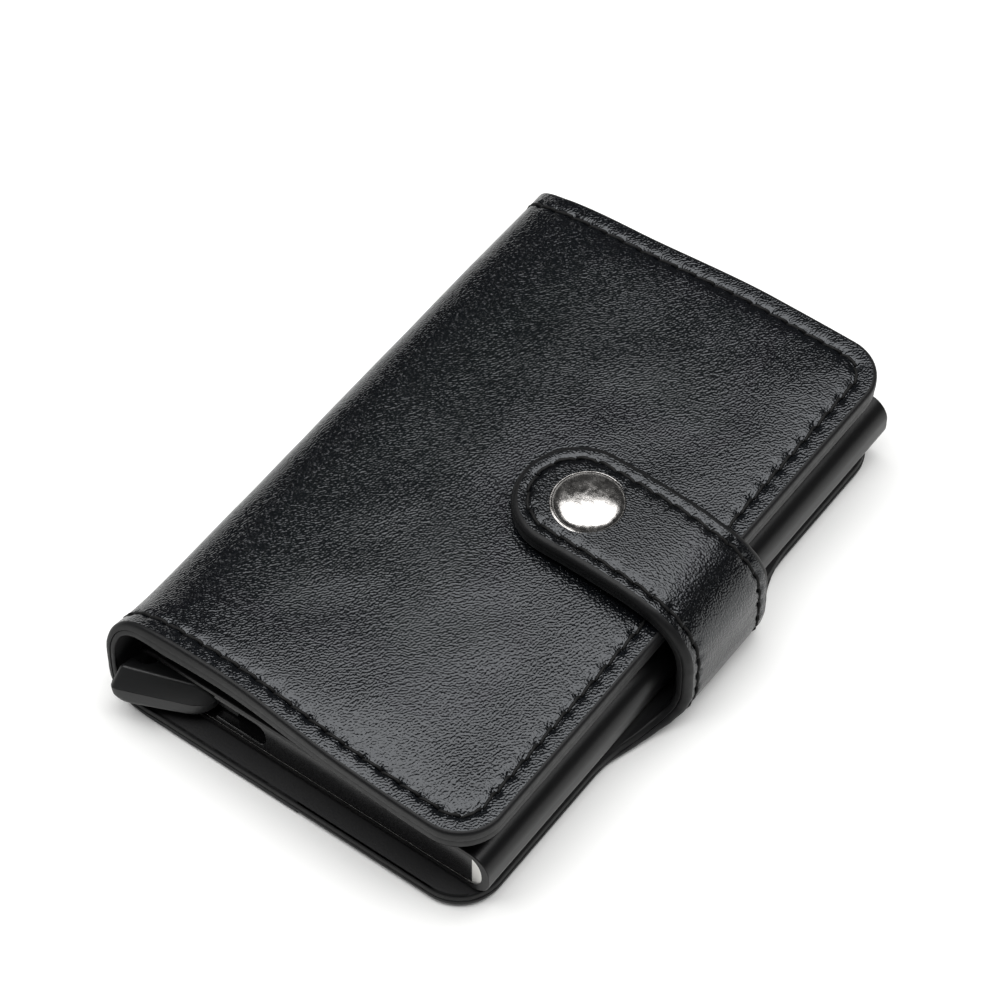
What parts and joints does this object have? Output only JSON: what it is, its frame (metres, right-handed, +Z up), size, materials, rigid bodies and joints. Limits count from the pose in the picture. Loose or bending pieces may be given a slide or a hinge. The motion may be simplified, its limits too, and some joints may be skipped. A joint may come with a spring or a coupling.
{
  "type": "card case",
  "caption": "Slim aluminium card case with a thumb lever that pushes the cards out, taped inside a folding leather wallet with a snap strap.",
  "frame": {"origin": "under the middle of the aluminium case, on the surface that the back cover lies on", "axes": "+X from the spine to the strap, +Y from the lever's end to the mouth the cards come out of, +Z up through the closed flap"},
  "size_m": [0.0701, 0.1041, 0.0263],
  "materials": {
    "black_aluminium": "satin",
    "glossy_plastic": "gloss",
    "grey_plastic": "satin",
    "pin_steel": "satin",
    "felt_black": "matte",
    "tape_white": "matte",
    "grained_leather": "satin",
    "strap_leather": "satin",
    "lining_leather": "matte",
    "board_grey": "matte",
    "foam_grey": "matte",
    "pocket_cloth": "matte",
    "black_thread": "matte",
    "plain_nickel": "satin",
    "dark_nickel": "polished"
  },
  "bodies": {
    "case_and_back": {"case_shell": "black_aluminium", "end_cap": "glossy_plastic", "lever_pin": "pin_steel", "grip_pad_back": "felt_black", "grip_pad_front": "felt_black", "case_adhesive": "tape_white", "back_cover": "grained_leather", "back_lining": "lining_leather", "back_board": "board_grey"},
    "lever": {"eject_lever": "grey_plastic"},
    "spine": {"spine_cover": "grained_leather", "spine_lining": "lining_leather", "spine_stitching_near": "black_thread", "spine_stitching_far": "black_thread"},
    "flap": {"flap_lining": "lining_leather", "flap_padding": "foam_grey", "flap_cover": "grained_leather", "note_pocket": "pocket_cloth", "card_pocket_upper": "pocket_cloth", "card_pocket_lower": "pocket_cloth", "flap_stitching": "black_thread", "snap_stud": "plain_nickel", "snap_post": "plain_nickel"},
    "strap_side": {"strap_side_lining": "lining_leather", "strap_side_cover": "strap_leather", "strap_stitching_near": "black_thread", "strap_stitching_far": "black_thread"},
    "strap_tip": {"strap_tip_lining": "lining_leather", "strap_tip_cover": "strap_leather", "strap_tip_stitching": "black_thread", "snap_socket": "plain_nickel", "snap_cap": "dark_nickel"}
  },
  "joints": [
    {"name": "spine_fold", "type": "hinge", "parent": "case_and_back", "child": "spine", "pos_m": [-0.03125, -0.0012, 0.00265], "axis": [0, -1, 0], "range_deg": [0, 90]},
    {"name": "flap_fold", "type": "hinge", "parent": "spine", "child": "flap", "pos_m": [-0.03125, -0.0012, 0.01615], "axis": [0, -1, 0], "range_deg": [0, 90]},
    {"name": "strap_fold", "type": "hinge", "parent": "case_and_back", "child": "strap_side", "pos_m": [0.03295, 0.0003, 0.00265], "axis": [0, 1, 0], "range_deg": [0, 90]},
    {"name": "strap_bend", "type": "hinge", "parent": "strap_side", "child": "strap_tip", "pos_m": [0.03295, 0.0003, 0.02175], "axis": [0, 1, 0], "range_deg": [0, 90]},
    {"name": "lever_turn", "type": "hinge", "parent": "case_and_back", "child": "lever", "pos_m": [0.022, -0.044, 0.00735], "axis": [0, 0, -1], "range_deg": [0, 20]}
  ],
  "couplings": [
    {"joint": "flap_fold", "follows": "spine_fold", "ratio": 1},
    {"joint": "strap_bend", "follows": "strap_fold", "ratio": 1}
  ]
}
